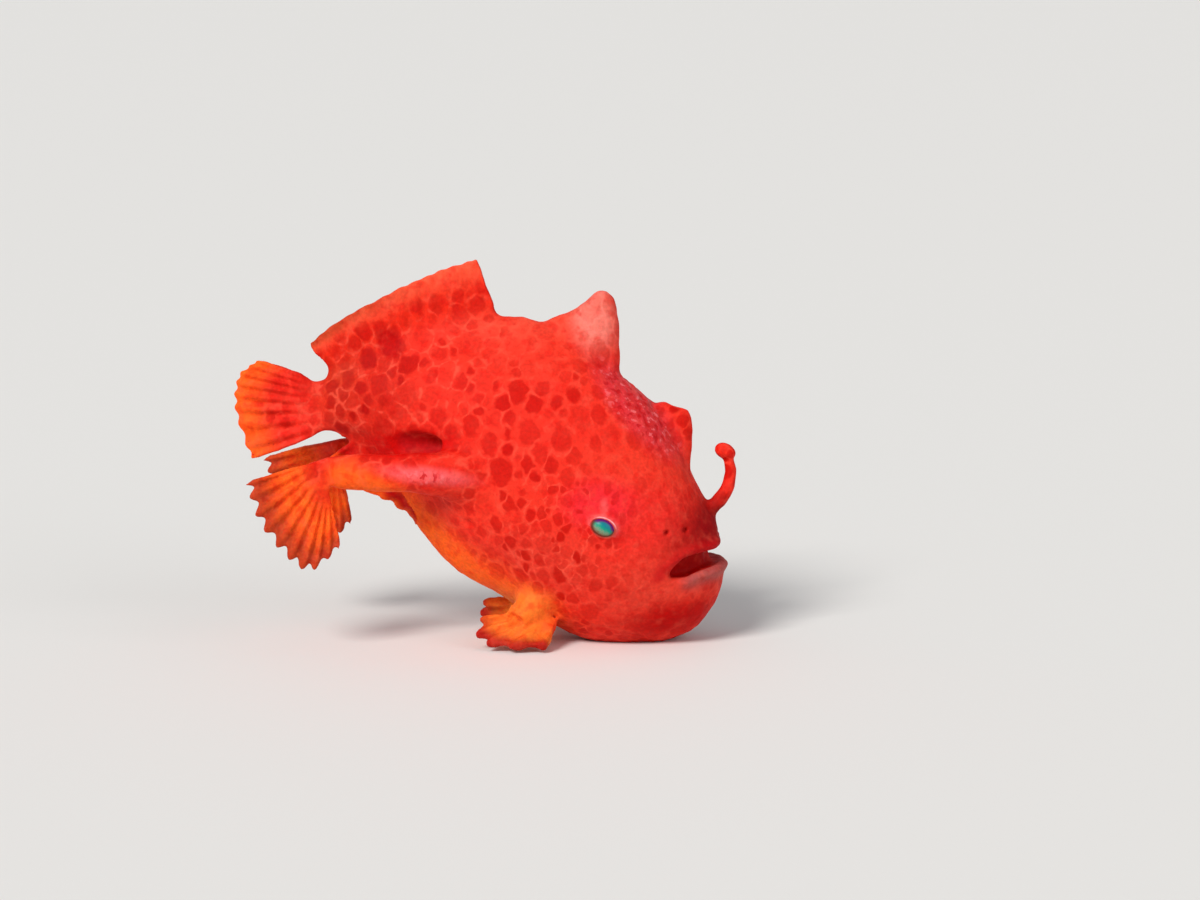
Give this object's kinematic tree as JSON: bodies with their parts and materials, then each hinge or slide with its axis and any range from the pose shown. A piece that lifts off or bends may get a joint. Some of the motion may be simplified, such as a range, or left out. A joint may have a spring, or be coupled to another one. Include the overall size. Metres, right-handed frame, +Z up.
{
  "type": "frogfish",
  "caption": "Young frogfish at rest on its throat and foot-like pelvic fins, a still life-size model with arms, rayed fins and a lure.",
  "frame": {"origin": "on the floor below the middle of the fish's overall box", "axes": "+X towards the snout, +Y to the fish's left, +Z up from the floor"},
  "size_m": [0.0152, 0.0062, 0.0116],
  "materials": {
    "red_skin": "moist red skin with darker red blotches",
    "orange_skin": "moist orange skin",
    "crimson_skin": "moist crimson skin",
    "eye": "wet, teal with a dark violet rim"
  },
  "bodies": {
    "root": {"head": "red_skin", "torso": "red_skin", "tail": "red_skin", "third_dorsal_spine": "red_skin", "second_dorsal_spine": "crimson_skin", "illicium": "crimson_skin", "soft_dorsal_fin": "red_skin", "anal_fin": "red_skin", "caudal_fin": "red_skin", "pectoral_arm_right": "red_skin", "pectoral_arm_left": "red_skin", "pectoral_fin_right": "orange_skin", "pectoral_fin_left": "orange_skin", "pelvic_fin_right": "orange_skin", "pelvic_fin_left": "orange_skin", "eye_right": "eye", "eye_left": "eye"}
  },
  "joints": []
}
